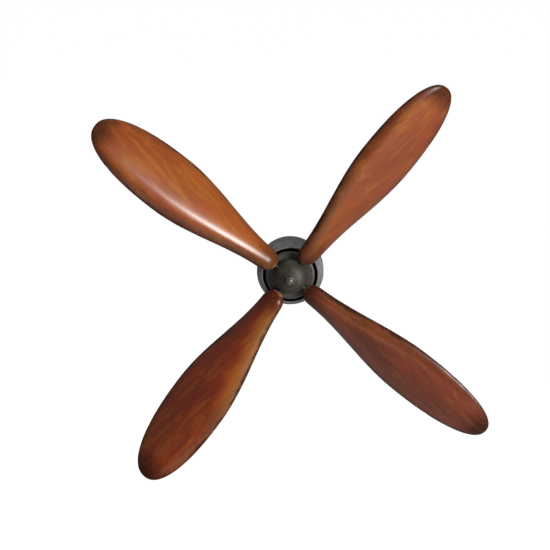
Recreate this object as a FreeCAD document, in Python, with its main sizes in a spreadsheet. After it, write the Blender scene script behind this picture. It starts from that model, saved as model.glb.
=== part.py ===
import FreeCAD, Part
import math
import os

import Sketcher

# A four-blade wooden propeller that turns on a wall-mounted hub.
#
# Frame of the part: +Z up, the wall is the plane y = 0 and the propeller faces -Y. The origin is the
# centre of the wall plate's back face, on the axis that the propeller turns about.
#
# Every sub-part is drawn in a front frame and placed by FRONT: its x is the part's +X, its y is the
# part's +Z and its z is the depth in front of the wall, so an angle is counted anticlockwise as seen
# from the front. Lengths are millimetres and angles are degrees.

DIMENSIONS = (
    # the propeller as a whole
    ("blade_angle_1", 52.1, "angle of the upper right blade at rest"),
    ("blade_angle_2", 140.7, "angle of the upper left blade at rest"),
    ("blade_angle_3", 233.8, "angle of the lower left blade at rest"),
    ("blade_angle_4", 321.6, "angle of the lower right blade at rest"),
    # wall plate
    ("plate_radius", 66, "wall plate, outer radius"),
    ("plate_thickness", 3, "wall plate, thickness"),
    ("plate_turn", 52, "angle of the first wall screw hole and the first tab"),
    ("wall_hole_circle", 53, "wall screw holes, radius of their circle"),
    ("wall_hole_radius", 2.75, "wall screw hole, radius"),
    ("tab_thickness", 3, "canopy tab, thickness"),
    ("tab_width", 16, "canopy tab, width"),
    ("tab_depth", 16, "canopy tab, depth in front of the wall"),
    ("canopy_screw_depth", 9.5, "canopy screws, depth in front of the wall"),
    ("canopy_screw_radius", 2, "canopy screw, radius"),
    ("canopy_screw_length", 6, "canopy screw, length"),
    # canopy
    ("canopy_radius", 68, "canopy, outer radius"),
    ("canopy_wall", 1.5, "canopy, sheet thickness"),
    ("canopy_side", 33, "canopy, depth of the straight side"),
    ("canopy_depth", 57, "canopy, depth of the front edge"),
    ("canopy_mouth", 56, "canopy, radius of the front opening"),
    ("canopy_shoulder", 14, "canopy, radius of the rounded shoulder"),
    # bearing housing and its screws
    ("flange_radius", 30, "bearing housing, flange radius"),
    ("flange_front", 8, "bearing housing, depth of the flange's front"),
    ("tube_radius", 14, "bearing housing, outer radius of the tube"),
    ("tube_front", 45, "bearing housing, depth of the tube's front"),
    ("nut_recess_radius", 11, "bearing housing, radius of the recess for the rear nut"),
    ("nut_recess_floor", 17, "bearing housing, depth of the recess's floor"),
    ("housing_screw_circle", 22, "housing screws, radius of their circle"),
    ("housing_screw_radius", 2.5, "housing screw, shank radius"),
    ("housing_head_radius", 4.25, "housing screw, head radius"),
    ("housing_head_height", 3.5, "housing screw, head height"),
    # bushes
    ("bush_radius", 8, "bush, outer radius"),
    ("bush_length", 10, "bush, length inside the housing"),
    ("bush_flange_radius", 10.5, "bush, flange radius"),
    ("bush_flange", 2, "bush, flange thickness"),
    ("bush_clearance", 0.04, "running clearance between spindle and bush, on the radius"),
    # spindle and the pieces stacked on it
    ("spindle_radius", 5, "spindle, radius"),
    ("spindle_rear", 5, "spindle, depth of the rear end"),
    ("collar_radius", 9, "spindle collar, radius"),
    ("collar_rear", 48.7, "spindle collar, depth of its rear face"),
    ("collar_front", 53, "spindle collar, depth of its front face"),
    ("spindle_step", 96.5, "spindle, depth where it steps down to the nose thread"),
    ("nose_thread_radius", 4, "spindle, radius of the nose thread"),
    ("spindle_front", 110, "spindle, depth of the front end"),
    ("end_float", 0.3, "gap between turning and fixed faces"),
    ("washer_radius", 10, "washers on the spindle, radius"),
    ("washer_thickness", 1.4, "washers on the spindle, thickness"),
    ("spindle_nut_corner", 9.2, "nuts on the spindle, centre to corner"),
    ("spindle_nut_height", 6, "nuts on the spindle, height"),
    ("spacer_radius", 14, "hub spacer, outer radius"),
    # hub
    ("drum_radius", 50, "hub drum, outer radius"),
    ("drum_rear", 30, "hub drum, depth of the rear rim"),
    ("drum_front", 63, "hub drum, depth of the front face"),
    ("drum_wall", 2.5, "hub drum, sheet thickness"),
    ("drum_edge", 4.5, "hub drum, radius of the rounded front edge"),
    ("core_radius", 22, "hub core, radius"),
    ("core_front", 88, "hub core, depth of the front face"),
    ("dome_radius", 36, "spinner dome, outer radius"),
    ("dome_skirt", 3, "spinner dome, length of the straight skirt"),
    ("dome_wall", 1.5, "spinner dome, sheet thickness"),
    ("dome_slot_radius", 5, "spinner dome, half width of the stud slots"),
    ("cup_washer_radius", 17, "cup washer, rim radius"),
    ("cup_washer_wall", 1.8, "cup washer, thickness"),
    ("cup_washer_gap", 0.05, "cup washer, gap to the dome"),
    ("nose_seat", 102.8, "nose nut, depth of the seat on the cup washer"),
    ("nose_nut_corner", 8.8, "nose nut, centre to corner"),
    ("nose_nut_hex", 5.5, "nose nut, height of the hexagon"),
    ("nose_cap_radius", 6.4, "nose nut, radius of the domed cap"),
    # blade studs
    ("stud_radius", 4, "blade stud, radius"),
    ("stud_inner", 8.5, "blade stud, distance of the inner end from the axis"),
    ("stud_outer", 92, "blade stud, distance of the outer end from the axis"),
    ("stud_nut_corner", 7.5, "stud nut, centre to corner"),
    ("stud_nut_height", 4, "stud nut, height"),
    # blades
    ("root_radius", 38, "blade, distance of the root end from the axis"),
    ("tip_radius", 507, "blade, distance of the tip from the axis"),
    ("widest_radius", 316, "blade, distance of the widest section from the axis"),
    ("root_chord", 47.5, "blade, width of the shank"),
    ("widest_chord", 132, "blade, width of the widest section"),
    ("shank_thickness", 32, "blade, thickness of the shank"),
    ("tip_thickness", 9, "blade, thickness towards the tip"),
    ("root_pitch", 32.5, "blade, pitch at the root"),
    ("tip_pitch", 29.5, "blade, pitch at the tip"),
    ("blade_depth", 77.8, "blade, depth of the pitch axis at the root"),
    ("blade_lean", 0.075, "blade, forward lean of the pitch axis per unit of radius"),
    ("blade_camber", 0.068, "blade, camber as a share of the chord"),
    ("root_rounding", 28, "blade, length over which the root end is rounded off"),
)

FRONT = FreeCAD.Rotation(FreeCAD.Vector(1, 0, 0), 90)
FORWARD = FreeCAD.Vector(0, 0, 1)
ORIGIN = FreeCAD.Vector(0, 0, 0)


class Dim:
    """A number together with the spreadsheet formula that it comes from."""

    def __init__(self, value, formula):
        self.value = float(value)
        self.formula = formula

    def __add__(self, other):
        other = dim(other)
        return Dim(self.value + other.value, f"({self.formula} + {other.formula})")

    def __sub__(self, other):
        other = dim(other)
        return Dim(self.value - other.value, f"({self.formula} - {other.formula})")

    def __mul__(self, factor):
        return Dim(self.value * factor, f"({self.formula} * {factor})")


def dim(number):
    """The number as a Dim, so that formulas can mix cells and plain numbers."""
    return number if isinstance(number, Dim) else Dim(number, str(number))


class Sizes:
    """The sheet's cells by name, each one a Dim."""


# ---------------------------------------------------------------- document and sheet

doc = FreeCAD.newDocument("wooden_propeller")
sheet = doc.addObject("Spreadsheet::Sheet", "Dimensions")
size = Sizes()
for row, (alias, value, meaning) in enumerate(DIMENSIONS, start=1):
    sheet.set(f"A{row}", meaning)
    sheet.set(f"B{row}", str(value))
    sheet.setAlias(f"B{row}", alias)
    setattr(size, alias, Dim(value, f"Dimensions.{alias}"))
doc.recompute()

BLADES = 4              # fitted by hand, so they are not quite evenly spaced
ZERO = Dim(0, "0")


# ---------------------------------------------------------------- helpers


def placed(turn=0, about=FORWARD, base=ORIGIN):
    """A placement in the part's frame for something drawn in the front frame."""
    inner = FreeCAD.Placement(base, FreeCAD.Rotation(about, turn))
    return FreeCAD.Placement(ORIGIN, FRONT).multiply(inner)


def origin_plane(body, role):
    return next(item for item in body.Origin.OriginFeatures if item.Role == role)


def new_body(label):
    body = doc.addObject("PartDesign::Body", label)
    body.Label = label
    return body


def new_sketch(body, name, role):
    sketch = body.newObject("Sketcher::SketchObject", name)
    sketch.AttachmentSupport = (origin_plane(body, role), [""])
    sketch.MapMode = "FlatFace"
    return sketch


def pin(sketch, kind, index, position, wanted):
    """Hold one coordinate of a point at a sheet value: on an axis where it is zero."""
    if wanted.value == 0:
        axis = -2 if kind == "DistanceX" else -1
        sketch.addConstraint(Sketcher.Constraint("PointOnObject", index, position, axis))
        return
    rule = Sketcher.Constraint(kind, -1, 1, index, position, wanted.value)
    number = sketch.addConstraint(rule)
    sketch.setExpression(f"Constraints[{number}]", wanted.formula)


def polygon(sketch, corners):
    """A closed polygon whose every corner is tied to the sheet."""
    count = len(corners)
    points = [FreeCAD.Vector(across.value, up.value, 0) for across, up in corners]
    for index in range(count):
        sketch.addGeometry(Part.LineSegment(points[index], points[(index + 1) % count]), False)
    for index in range(count):
        sketch.addConstraint(Sketcher.Constraint("Coincident", index, 2, (index + 1) % count, 1))
    for index, (across, up) in enumerate(corners):
        pin(sketch, "DistanceX", index, 1, dim(across))
        pin(sketch, "DistanceY", index, 1, dim(up))


def circle(sketch, across, up, radius):
    """A circle whose centre and radius are tied to the sheet."""
    centre = FreeCAD.Vector(dim(across).value, dim(up).value, 0)
    index = sketch.addGeometry(Part.Circle(centre, FORWARD, radius.value), False)
    pin(sketch, "DistanceX", index, 3, dim(across))
    pin(sketch, "DistanceY", index, 3, dim(up))
    number = sketch.addConstraint(Sketcher.Constraint("Radius", index, radius.value))
    sketch.setExpression(f"Constraints[{number}]", radius.formula)


def turned(label, corners, turn=0):
    """A body turned about the propeller's axis from (radius, depth) corners."""
    body = new_body(label)
    sketch = new_sketch(body, label + "_profile", "XZ_Plane")
    polygon(sketch, [(dim(radius), dim(depth)) for radius, depth in corners])
    revolution = body.newObject("PartDesign::Revolution", label + "_turning")
    revolution.Profile = sketch
    revolution.ReferenceAxis = (sketch, ["V_Axis"])
    revolution.Angle = 360
    sketch.Visibility = False
    body.Placement = placed(turn)
    doc.recompute()
    return body


def ring(label, inner, outer, rear, front):
    """A plain turned ring."""
    return turned(label, [(inner, rear), (outer, rear), (outer, front), (inner, front)])


def round_edge(feature, places):
    """The names of a feature's circular edges that lie at the given (radius, depth) places."""
    names = []
    for number, edge in enumerate(feature.Shape.Edges, start=1):
        if not isinstance(edge.Curve, Part.Circle):
            continue
        for radius, depth in places:
            same_radius = abs(edge.Curve.Radius - radius.value) < 0.01
            if same_radius and abs(edge.Curve.Center.z - depth.value) < 0.01:
                names.append(f"Edge{number}")
    return names


def fillet(body, name, places, radius):
    """Round circular edges of a turned body."""
    tip = body.Tip
    feature = body.newObject("PartDesign::Fillet", name)
    feature.Base = (tip, round_edge(tip, places))
    feature.setExpression("Radius", radius.formula)
    doc.recompute()
    return feature


def cut_through(body, name, sketch, length, outwards):
    """A pocket that has to take something away, on the named side of its sketch."""
    before = body.Shape.Volume
    pocket = body.newObject("PartDesign::Pocket", name)
    pocket.Profile = sketch
    pocket.Type = "Length"
    pocket.setExpression("Length", dim(length).formula)
    pocket.Reversed = outwards
    sketch.Visibility = False
    doc.recompute()
    if body.Shape.Volume > before - 0.1:
        raise RuntimeError(f"{name} cuts nothing")
    return pocket


def around(body, name, features, count):
    """Repeat features evenly about the propeller's axis."""
    pattern = body.newObject("PartDesign::PolarPattern", name)
    pattern.Originals = features
    pattern.Axis = (origin_axis(body), [""])
    pattern.Angle = 360
    pattern.Occurrences = count
    body.Tip = pattern
    doc.recompute()
    return pattern


def origin_axis(body):
    return next(item for item in body.Origin.OriginFeatures if item.Role == "Z_Axis")


def cylinder(name, radius, rear, front):
    """A cylinder about the z axis between two depths."""
    part = doc.addObject("Part::Cylinder", name)
    part.setExpression("Radius", dim(radius).formula)
    part.setExpression("Height", (dim(front) - rear).formula)
    part.setExpression("Placement.Base.z", dim(rear).formula)
    return part


def hexagon(name, corner, rear, front):
    """A hexagonal prism about the z axis between two depths."""
    part = doc.addObject("Part::Prism", name)
    part.Polygon = 6
    part.setExpression("Circumradius", dim(corner).formula)
    part.setExpression("Height", (dim(front) - rear).formula)
    part.setExpression("Placement.Base.z", dim(rear).formula)
    return part


def ball(name, radius, depth, lowest_angle=-90):
    """A ball centred on the z axis, or its upper part from an angle of latitude."""
    part = doc.addObject("Part::Sphere", name)
    part.setExpression("Radius", dim(radius).formula)
    part.setExpression("Placement.Base.z", dim(depth).formula)
    part.Angle1 = lowest_angle
    return part


def fused(name, *parts):
    part = doc.addObject("Part::MultiFuse", name)
    part.Shapes = list(parts)
    return part


def cut(name, base, tool):
    part = doc.addObject("Part::Cut", name)
    part.Base = base
    part.Tool = tool
    return part


def shared(name, *parts):
    part = doc.addObject("Part::MultiCommon", name)
    part.Shapes = list(parts)
    return part


def chamfered_hexagon(name, corner, rear, front, bevel):
    """A hexagonal nut blank with its front corners turned off by a cone."""
    blank = hexagon(name + "_hexagon", corner, rear, front)
    turning = doc.addObject("Part::Cone", name + "_turning")
    height = dim(front) - rear
    turning.setExpression("Radius1", (dim(corner) - bevel + height * 2).formula)
    turning.setExpression("Radius2", (dim(corner) - bevel).formula)
    turning.setExpression("Height", height.formula)
    turning.setExpression("Placement.Base.z", dim(rear).formula)
    return shared(name + "_blank", blank, turning)


def spindle_nut(label, rear):
    """A plain nut on the spindle."""
    front = rear + size.spindle_nut_height
    blank = chamfered_hexagon(label, size.spindle_nut_corner, rear, front, 0.7)
    nut = cut(label, blank, cylinder(label + "_thread", size.spindle_radius, rear, front))
    nut.Placement = placed()
    return nut


# ---------------------------------------------------------------- fixed pieces on the wall


def make_wall_plate():
    """A disc with wall screw holes, threaded housing holes and upright tabs for the canopy."""
    label = "wall_plate"
    thickness = size.plate_thickness
    body = turned(label, [(ZERO, ZERO), (size.plate_radius, ZERO), (size.plate_radius, thickness),
                          (ZERO, thickness)], size.plate_turn.value)
    holes = new_sketch(body, "plate_holes", "XY_Plane")
    circle(holes, size.wall_hole_circle, ZERO, size.wall_hole_radius)
    circle(holes, size.housing_screw_circle, ZERO, size.housing_screw_radius)
    drilled = cut_through(body, "plate_drilling", holes, thickness, True)
    around(body, "plate_hole_pattern", [drilled], 4)
    outer = size.plate_radius
    inner = outer - size.tab_thickness
    half = size.tab_width * 0.5
    upright = new_sketch(body, "tab_outline", "XY_Plane")
    polygon(upright, [(inner, half * -1), (outer, half * -1), (outer, half), (inner, half)])
    tab = body.newObject("PartDesign::Pad", "tab")
    tab.Profile = upright
    tab.setExpression("Length", size.tab_depth.formula)
    upright.Visibility = False
    doc.recompute()
    bored = new_sketch(body, "tab_hole", "YZ_Plane")
    circle(bored, ZERO, size.canopy_screw_depth, size.canopy_screw_radius)
    threaded = cut_through(body, "tab_thread", bored, outer + 5, True)
    around(body, "tab_pattern", [tab, threaded], 3)
    return body


def make_canopy():
    """A spun bell: straight side, rounded shoulder and a coned face with an open mouth."""
    wall = size.canopy_wall
    outer, side, depth, mouth = size.canopy_radius, size.canopy_side, size.canopy_depth, size.canopy_mouth
    body = turned("wall_canopy", [(outer - wall, ZERO), (outer, ZERO), (outer, side), (mouth + wall, depth),
                                  (mouth, depth), (outer - wall, side)], size.plate_turn.value)
    fillet(body, "canopy_shoulder", [(outer, side), (outer - wall, side)], size.canopy_shoulder)
    hole = new_sketch(body, "canopy_hole", "YZ_Plane")
    circle(hole, ZERO, size.canopy_screw_depth, size.canopy_screw_radius)
    pierced = cut_through(body, "canopy_piercing", hole, outer + 5, True)
    around(body, "canopy_hole_pattern", [pierced], 3)
    return body


def make_canopy_screws():
    """Three grub screws that hold the canopy to the tabs, flush with its side."""
    screws = []
    for number in range(3):
        name = f"canopy_screw_{number + 1}"
        inner = size.canopy_radius - size.canopy_screw_length - 0.4
        shank = cylinder(name + "_shank", size.canopy_screw_radius, inner, inner + size.canopy_screw_length)
        key = hexagon(name + "_key", 1.1, size.canopy_radius - 2.4, size.canopy_radius)
        screw = cut(name, shank, key)
        turn = size.plate_turn.value + 120 * number
        outwards = FreeCAD.Rotation(FORWARD, turn).multiply(FreeCAD.Rotation(FreeCAD.Vector(0, 1, 0), 90))
        screw.Placement = FreeCAD.Placement(
            FreeCAD.Vector(0, 0, size.canopy_screw_depth.value), outwards)
        screws.append(screw)
    group = doc.addObject("Part::Compound", "canopy_screws")
    group.Links = screws
    group.Placement = placed()
    return group


def make_bearing_housing():
    """A flanged tube that holds the two bushes, with a recess behind for the rear nut."""
    rear = size.plate_thickness
    body = turned("bearing_housing", [
        (size.nut_recess_radius, rear), (size.flange_radius, rear), (size.flange_radius, size.flange_front),
        (size.tube_radius, size.flange_front), (size.tube_radius, size.tube_front),
        (size.bush_radius, size.tube_front), (size.bush_radius, size.nut_recess_floor),
        (size.nut_recess_radius, size.nut_recess_floor)], size.plate_turn.value)
    holes = new_sketch(body, "housing_holes", "XY_Plane")
    circle(holes, size.housing_screw_circle, ZERO, size.housing_screw_radius)
    drilled = cut_through(body, "housing_drilling", holes, size.flange_front, True)
    around(body, "housing_hole_pattern", [drilled], 4)
    return body


def make_housing_screws():
    """Four socket screws that hold the housing to the wall plate."""
    screws = []
    for number in range(4):
        name = f"housing_screw_{number + 1}"
        seat = size.flange_front
        top = seat + size.housing_head_height
        shank = cylinder(name + "_shank", size.housing_screw_radius, 0.3, seat)
        head = cylinder(name + "_head", size.housing_head_radius, seat, top)
        key = hexagon(name + "_key", 2.3, top - 2.2, top)
        screw = cut(name, fused(name + "_solid", shank, head), key)
        turn = math.radians(size.plate_turn.value + 90 * number)
        reach = size.housing_screw_circle.value
        screw.Placement.Base = FreeCAD.Vector(reach * math.cos(turn), reach * math.sin(turn), 0)
        screws.append(screw)
    group = doc.addObject("Part::Compound", "housing_screws")
    group.Links = screws
    group.Placement = placed()
    return group


def make_bush(label, seat, flange_side):
    """A flanged bronze bush; its flange is in front of the seat (+1) or behind it (-1)."""
    bore = size.spindle_radius + size.bush_clearance
    flange = seat + size.bush_flange * flange_side
    end = seat - size.bush_length * flange_side
    return turned(label, [(bore, end), (size.bush_radius, end), (size.bush_radius, seat),
                          (size.bush_flange_radius, seat), (size.bush_flange_radius, flange),
                          (bore, flange)])


# ---------------------------------------------------------------- turning pieces on the spindle


def make_spindle():
    """The shaft that everything turning is clamped on: collar, hub thread and thinner nose thread."""
    thread = size.spindle_radius
    nose = size.nose_thread_radius
    return turned("spindle", [
        (ZERO, size.spindle_rear), (thread, size.spindle_rear), (thread, size.collar_rear),
        (size.collar_radius, size.collar_rear), (size.collar_radius, size.collar_front),
        (thread, size.collar_front), (thread, size.spindle_step), (nose, size.spindle_step),
        (nose, size.spindle_front), (ZERO, size.spindle_front)])


def make_drum():
    """A pressed pan whose rim reaches back into the canopy and whose face carries the blades' roots."""
    wall = size.drum_wall
    outer, front, bore = size.drum_radius, size.drum_front, size.spindle_radius
    body = turned("hub_drum", [
        (bore, front - wall), (outer - wall, front - wall), (outer - wall, size.drum_rear),
        (outer, size.drum_rear), (outer, front), (bore, front)])
    fillet(body, "drum_edge", [(outer, front)], size.drum_edge)
    fillet(body, "drum_inner_edge", [(outer - wall, front - wall)], size.drum_edge - wall)
    return body


def blade_angle(number):
    return getattr(size, f"blade_angle_{number + 1}").value


def along_stud(start=0):
    """A placement in a blade's own frame whose z runs outwards along the stud from a radius."""
    return FreeCAD.Placement(FreeCAD.Vector(start, 0, size.blade_depth.value),
                             FreeCAD.Rotation(FreeCAD.Vector(0, 1, 0), 90))


def at_blade(number):
    """The placement of a blade's own frame in the front frame."""
    return FreeCAD.Placement(ORIGIN, FreeCAD.Rotation(FORWARD, blade_angle(number)))


def rod(name, radius, inner, outer):
    """A cylinder in a blade's own frame, along the stud between two radii."""
    part = doc.addObject("Part::Cylinder", name)
    part.setExpression("Radius", dim(radius).formula)
    part.setExpression("Height", (dim(outer) - inner).formula)
    part.Placement = along_stud(dim(inner).value)
    return part


def make_core():
    """The block inside the dome, with a radial threaded hole for each blade's stud."""
    rear, front = size.drum_front, size.core_front
    holes = [cylinder("core_bore", size.spindle_radius, rear, front)]
    for number in range(BLADES):
        hole = rod(f"stud_hole_{number + 1}", size.stud_radius, size.stud_inner, size.core_radius + 1)
        hole.Placement = at_blade(number).multiply(hole.Placement)
        holes.append(hole)
    core = cut("hub_core", cylinder("core_blank", size.core_radius, rear, front), fused("core_holes", *holes))
    core.Placement = placed()
    return core


def make_stud(number):
    """A threaded stud: one end in the core, the other in the blade's shank."""
    stud = rod(f"blade_stud_{number + 1}", size.stud_radius, size.stud_inner, size.stud_outer)
    stud.Placement = placed(blade_angle(number)).multiply(stud.Placement)
    return stud


def make_stud_nut(number):
    """The lock nut that holds a stud in the core."""
    label = f"stud_nut_{number + 1}"
    rear = size.core_radius
    front = rear + size.stud_nut_height
    blank = chamfered_hexagon(label, size.stud_nut_corner, rear, front, 0.6)
    nut = cut(label, blank, cylinder(label + "_thread", size.stud_radius, rear, front))
    nut.Placement = placed(blade_angle(number)).multiply(along_stud())
    return nut


def dome_solid(name, radius, skirt_rear):
    """A hemisphere on a straight skirt."""
    base = size.drum_front + size.dome_skirt
    return fused(name, ball(name + "_ball", radius, base, 0),
                 cylinder(name + "_skirt", radius, skirt_rear, base))


def make_dome():
    """The spinner: a thin dome with an open slot in its rim for each stud and a hole for the nose."""
    shell = cut("dome_shell", dome_solid("dome_outside", size.dome_radius, size.drum_front),
                dome_solid("dome_inside", size.dome_radius - size.dome_wall, size.drum_front))
    tools = [cylinder("dome_nose_hole", size.nose_thread_radius + 0.2, size.drum_front + 30,
                      size.drum_front + 45)]
    for number in range(BLADES):
        slot = doc.addObject("Part::Box", f"dome_slot_{number + 1}")
        slot.setExpression("Length", size.dome_radius.formula)
        slot.setExpression("Width", (size.dome_slot_radius * 2).formula)
        slot.setExpression("Height", (size.blade_depth - size.drum_front + 1).formula)
        corner = FreeCAD.Vector(size.core_radius.value, -size.dome_slot_radius.value,
                                size.drum_front.value - 1)
        slot.Placement = at_blade(number).multiply(FreeCAD.Placement(corner, FreeCAD.Rotation()))
        top = rod(f"dome_slot_top_{number + 1}", size.dome_slot_radius, size.core_radius,
                  size.core_radius + size.dome_radius)
        top.Placement = at_blade(number).multiply(top.Placement)
        tools += [slot, top]
    dome = cut("spinner_dome", shell, fused("dome_openings", *tools))
    dome.Placement = placed()
    return dome


def make_cup_washer():
    """A saucer that sits on the dome's nose, with a flat seat for the nut."""
    centre = size.drum_front + size.dome_skirt
    inside = size.dome_radius + size.cup_washer_gap
    outside = size.dome_radius + size.cup_washer_wall
    shell = cut("cup_shell", ball("cup_outside", outside, centre, 0), ball("cup_inside", inside, centre, 0))
    disc = cylinder("cup_rim", size.cup_washer_radius, centre, centre + 40)
    saucer = shared("cup_saucer", shell, disc)
    hole = cylinder("cup_hole", size.nose_thread_radius + 0.1, centre, centre + 40)
    flat = cylinder("cup_flat", size.nose_nut_corner + 0.6, size.nose_seat, size.nose_seat + 5)
    washer = cut("nose_washer", saucer, fused("cup_cuts", hole, flat))
    washer.Placement = placed()
    return washer


def make_nose_nut():
    """A domed cap nut that closes the nose."""
    seat = size.nose_seat
    top = seat + size.nose_nut_hex
    hexagonal = chamfered_hexagon("nose_hex", size.nose_nut_corner, seat, top, 0.8)
    cap = ball("nose_cap", size.nose_cap_radius, top - 0.6, 0)
    solid = fused("nose_solid", hexagonal, cap)
    thread = cylinder("nose_thread", size.nose_thread_radius, seat, size.spindle_front + 0.2)
    nut = cut("nose_nut", solid, thread)
    nut.Placement = placed(20)
    return nut


# ---------------------------------------------------------------- blades


def blade_chord(radius):
    """Width of the blade: a soft swell from the shank to the widest section, then a blunt tip."""
    widest = size.widest_radius.value
    root = size.root_radius.value
    if radius >= widest:
        share = (radius - widest) / (size.tip_radius.value - widest)
        return size.widest_chord.value * (1 - share ** TIP_FULLNESS) ** (1 / TIP_FULLNESS)
    swell = (1 - math.cos(math.pi * (radius - root) / (widest - root))) / 2
    full = size.root_chord.value + (size.widest_chord.value - size.root_chord.value) * swell
    return full * root_closing(radius)


def root_closing(radius):
    """A quarter ellipse that rounds off the root end."""
    length = size.root_rounding.value
    share = min(1, (radius - size.root_radius.value + ROOT_BLUNTNESS) / length)
    return math.sqrt(1 - (1 - share) ** 2)


def blade_thickness(radius):
    """Thickness of the blade: an even taper, rounded off at both ends."""
    root, tip = size.root_radius.value, size.tip_radius.value
    along = (radius - root) / (tip - root)
    taper = size.shank_thickness.value * (1 - along) ** TAPER + size.tip_thickness.value * along
    return taper * root_closing(radius) * (1 - along ** TIP_EDGE) ** (1 / 3)


def camber_line(back):
    """Height of the camber line behind the leading edge: two parabolas that meet at the crest."""
    if back < CREST:
        return back * (2 * CREST - back) / CREST ** 2
    return (1 - back) * (1 + back - 2 * CREST) / (1 - CREST) ** 2


def blade_section(radius):
    """The blade's section at a radius: x along the blade, y to the leading edge, z forwards."""
    chord, thickness = blade_chord(radius), blade_thickness(radius)
    along = (radius - size.root_radius.value) / (size.tip_radius.value - size.root_radius.value)
    pitch = math.radians(size.root_pitch.value + (size.tip_pitch.value - size.root_pitch.value) * along)
    depth = size.blade_depth.value + size.blade_lean.value * (radius - size.root_radius.value)
    shank_share = math.exp(-(along / SHANK_BLEND) ** 2)
    oval = OVAL_SHARE + (1 - OVAL_SHARE) * shank_share
    camber = size.blade_camber.value * chord * (1 - shank_share)
    points = []
    for step in range(SECTION_POINTS):
        turn = 2 * math.pi * step / SECTION_POINTS
        back = (1 - math.cos(turn)) / 2
        foil = 0.2969 * math.sqrt(back) - 0.126 * back - 0.3516 * back ** 2 + 0.2843 * back ** 3
        foil = 5 * max(0, foil - 0.1036 * back ** 4) * math.copysign(1, math.sin(turn))
        height = thickness * (oval * math.sin(turn) / 2 + (1 - oval) * foil)
        height += camber * camber_line(back)
        forward = chord * math.cos(turn) / 2
        points.append(FreeCAD.Vector(
            radius,
            forward * math.cos(pitch) - height * math.sin(pitch),
            depth + forward * math.sin(pitch) + height * math.cos(pitch)))
    curve = Part.BSplineCurve()
    curve.interpolate(Points=points, Parameters=list(range(SECTION_POINTS + 1)), PeriodicFlag=True)
    return Part.Wire([curve.toShape()])


TIP_FULLNESS = 2.3      # power of the curve that rounds the tip in plan
TAPER = 0.75            # power of the curve that thins the blade from the shank outwards
TIP_EDGE = 9            # power of the curve that thins the tip
ROOT_BLUNTNESS = 4      # how much of the root end is left flat
SHANK_BLEND = 0.22      # share of the blade over which the oval shank becomes a wing section
CREST = 0.28            # place of the camber's crest, as a share of the chord
OVAL_SHARE = 0.2        # share of an oval in the wing section, which blunts the trailing edge
SECTION_POINTS = 24     # points round each section, and so knots in the loft
SECTION_COUNT = 20      # sections from the root to the tip
TIP_FLAT = 0.6          # the last section stands this far inside the tip


def blade_blank():
    """One blade, lofted through sections that crowd together towards both ends."""
    first, last = size.root_radius.value, size.tip_radius.value - TIP_FLAT
    sections = []
    for step in range(SECTION_COUNT):
        share = (1 - math.cos(math.pi * step / (SECTION_COUNT - 1))) / 2
        sections.append(blade_section(first + (last - first) * share))
    return Part.makeLoft(sections, True, False)


def make_blade(number, shape):
    """A blade with the hole for its stud."""
    label = f"blade_{number + 1}"
    blank = doc.addObject("Part::Feature", label + "_blank")
    blank.Shape = shape
    bore = rod(label + "_bore", size.stud_radius, size.root_radius - 5, size.stud_outer)
    blade = cut(label, blank, bore)
    blade.Placement = placed(blade_angle(number))
    return blade


# ---------------------------------------------------------------- build and write

subparts = [make_wall_plate(), make_canopy(), make_canopy_screws(), make_bearing_housing(),
            make_housing_screws()]
subparts.append(make_bush("front_bush", size.tube_front, 1))
subparts.append(make_bush("rear_bush", size.nut_recess_floor, -1))

rear_washer_front = size.nut_recess_floor - size.bush_flange - size.end_float
rear_washer_rear = rear_washer_front - size.washer_thickness
subparts.append(make_spindle())
subparts.append(ring("rear_washer", size.spindle_radius, size.washer_radius, rear_washer_rear,
                     rear_washer_front))
subparts.append(spindle_nut("rear_nut", rear_washer_rear - size.spindle_nut_height))
subparts.append(ring("thrust_washer", size.spindle_radius, size.washer_radius,
                     size.collar_rear - size.washer_thickness, size.collar_rear))
subparts.append(ring("hub_spacer", size.spindle_radius, size.spacer_radius, size.collar_front,
                     size.drum_front - size.drum_wall))
subparts.append(make_drum())
subparts.append(make_core())
subparts.append(ring("hub_washer", size.spindle_radius, size.washer_radius, size.core_front,
                     size.core_front + size.washer_thickness))
subparts.append(spindle_nut("hub_nut", size.core_front + size.washer_thickness))
subparts += [make_dome(), make_cup_washer(), make_nose_nut()]

blade_shape = blade_blank()
for blade_number in range(BLADES):
    subparts.append(make_stud(blade_number))
    subparts.append(make_stud_nut(blade_number))
    subparts.append(make_blade(blade_number, blade_shape))

doc.recompute()

faults = [item.Label for item in doc.Objects if "Invalid" in item.State or "Error" in item.State]
faults += [item.Label for item in subparts if item.Shape.isNull() or not item.Shape.isValid()]
if faults:
    raise RuntimeError(f"not built: {faults}")

os.makedirs("parts", exist_ok=True)
for item in subparts:
    item.Shape.exportStep(f"parts/{item.Label}.step")
    print(f"{item.Label}: {len(item.Shape.Solids)} solid(s), {item.Shape.Volume / 1000:.2f} cm3")
everything = Part.makeCompound([item.Shape for item in subparts]).BoundBox
print(f"whole part: {everything.XLength:.1f} x {everything.YLength:.1f} x {everything.ZLength:.1f} mm")
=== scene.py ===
import math
from collections import namedtuple

import bmesh
import bpy
from bpy.props import FloatProperty, FloatVectorProperty, IntProperty, PointerProperty
from mathutils import Matrix, Vector, noise


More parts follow.
